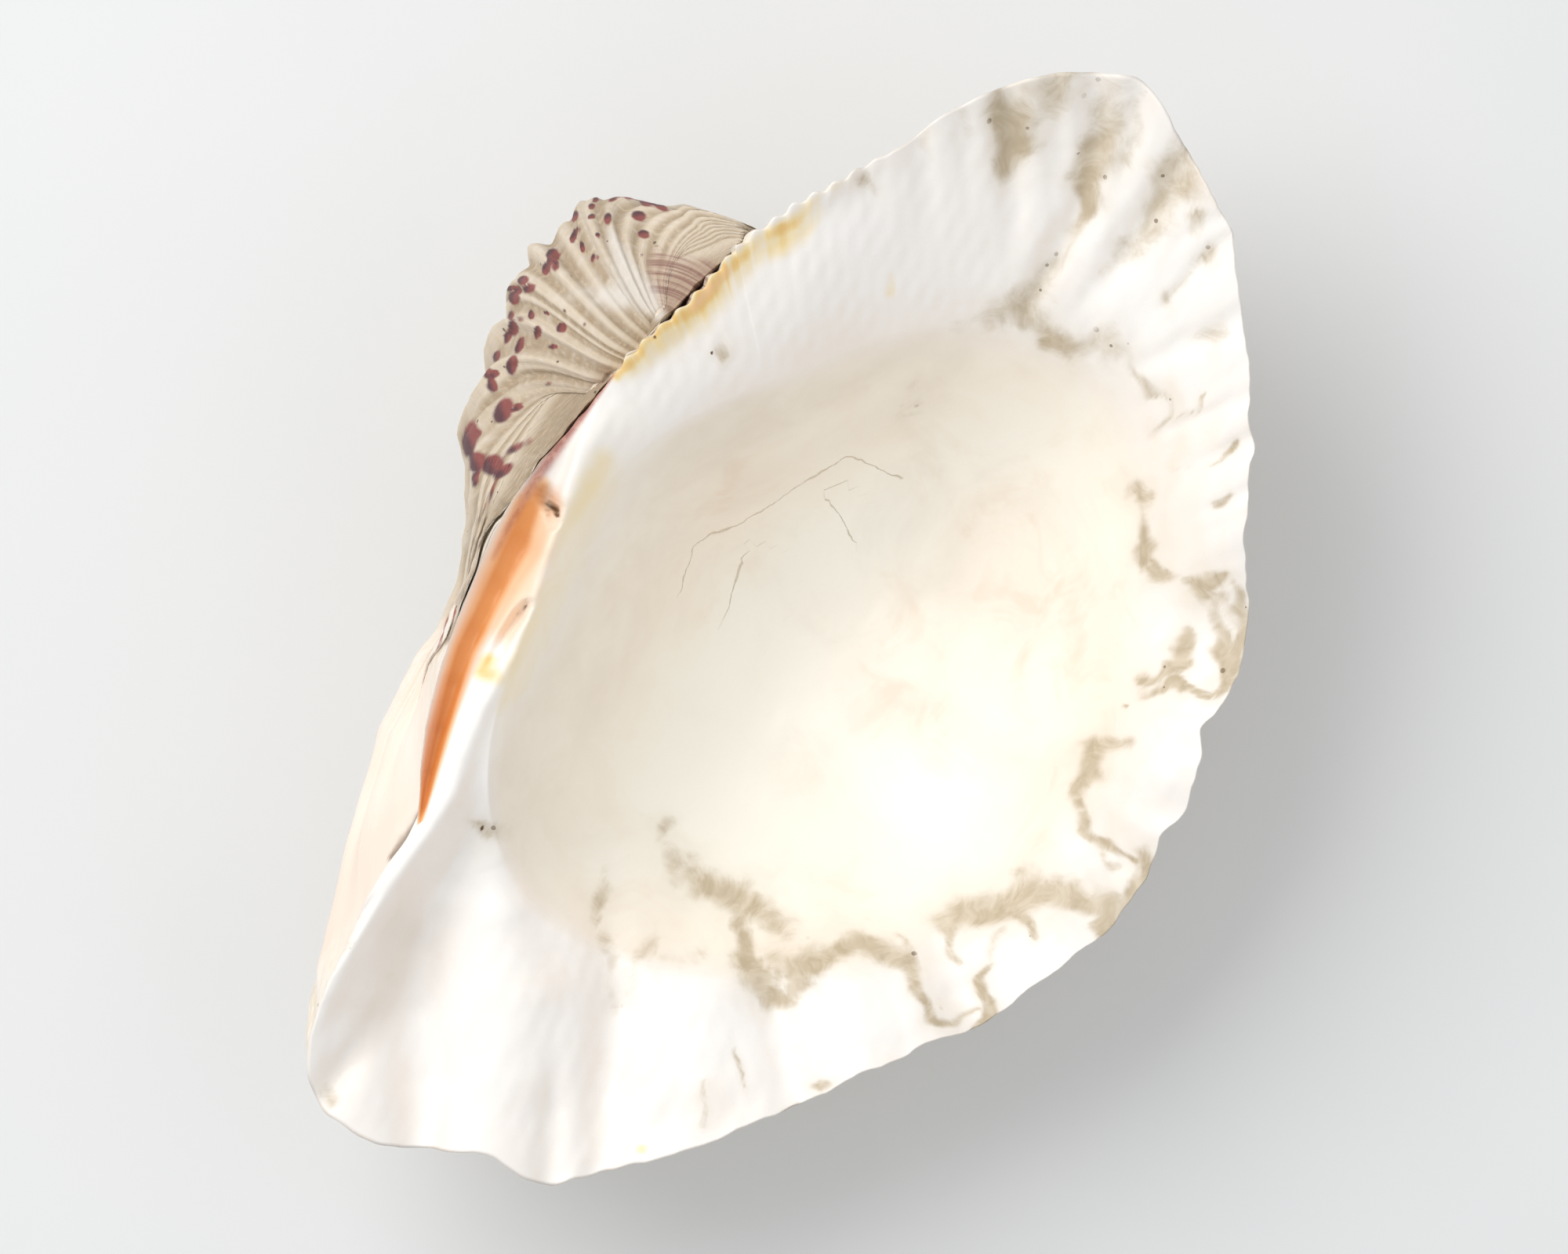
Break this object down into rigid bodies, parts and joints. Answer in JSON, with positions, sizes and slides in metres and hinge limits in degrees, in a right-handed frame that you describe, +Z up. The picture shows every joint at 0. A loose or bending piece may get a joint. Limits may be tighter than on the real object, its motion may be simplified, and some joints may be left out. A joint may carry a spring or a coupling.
{
  "type": "bear paw clam shell valve",
  "caption": "One thick valve of a bear paw clam with a scalloped edge, deep smooth inside, hinge ridge and curled ribbed umbo, lying on its ribbed outside.",
  "frame": {"origin": "middle of the plan box, at the level of the worn rib crests that the valve rests on", "axes": "+Z up out of the hollow, +X to the front (anterior) end of the valve, +Y to the umbo and hinge, so the scalloped ventral edge faces -Y"},
  "size_m": [0.1878, 0.1265, 0.065],
  "materials": {
    "shell": "porcelain-like cream inside with a soft shine, chalky ribbed outside stained beige and maroon"
  },
  "bodies": {
    "root": {"valve": "shell"}
  },
  "joints": []
}
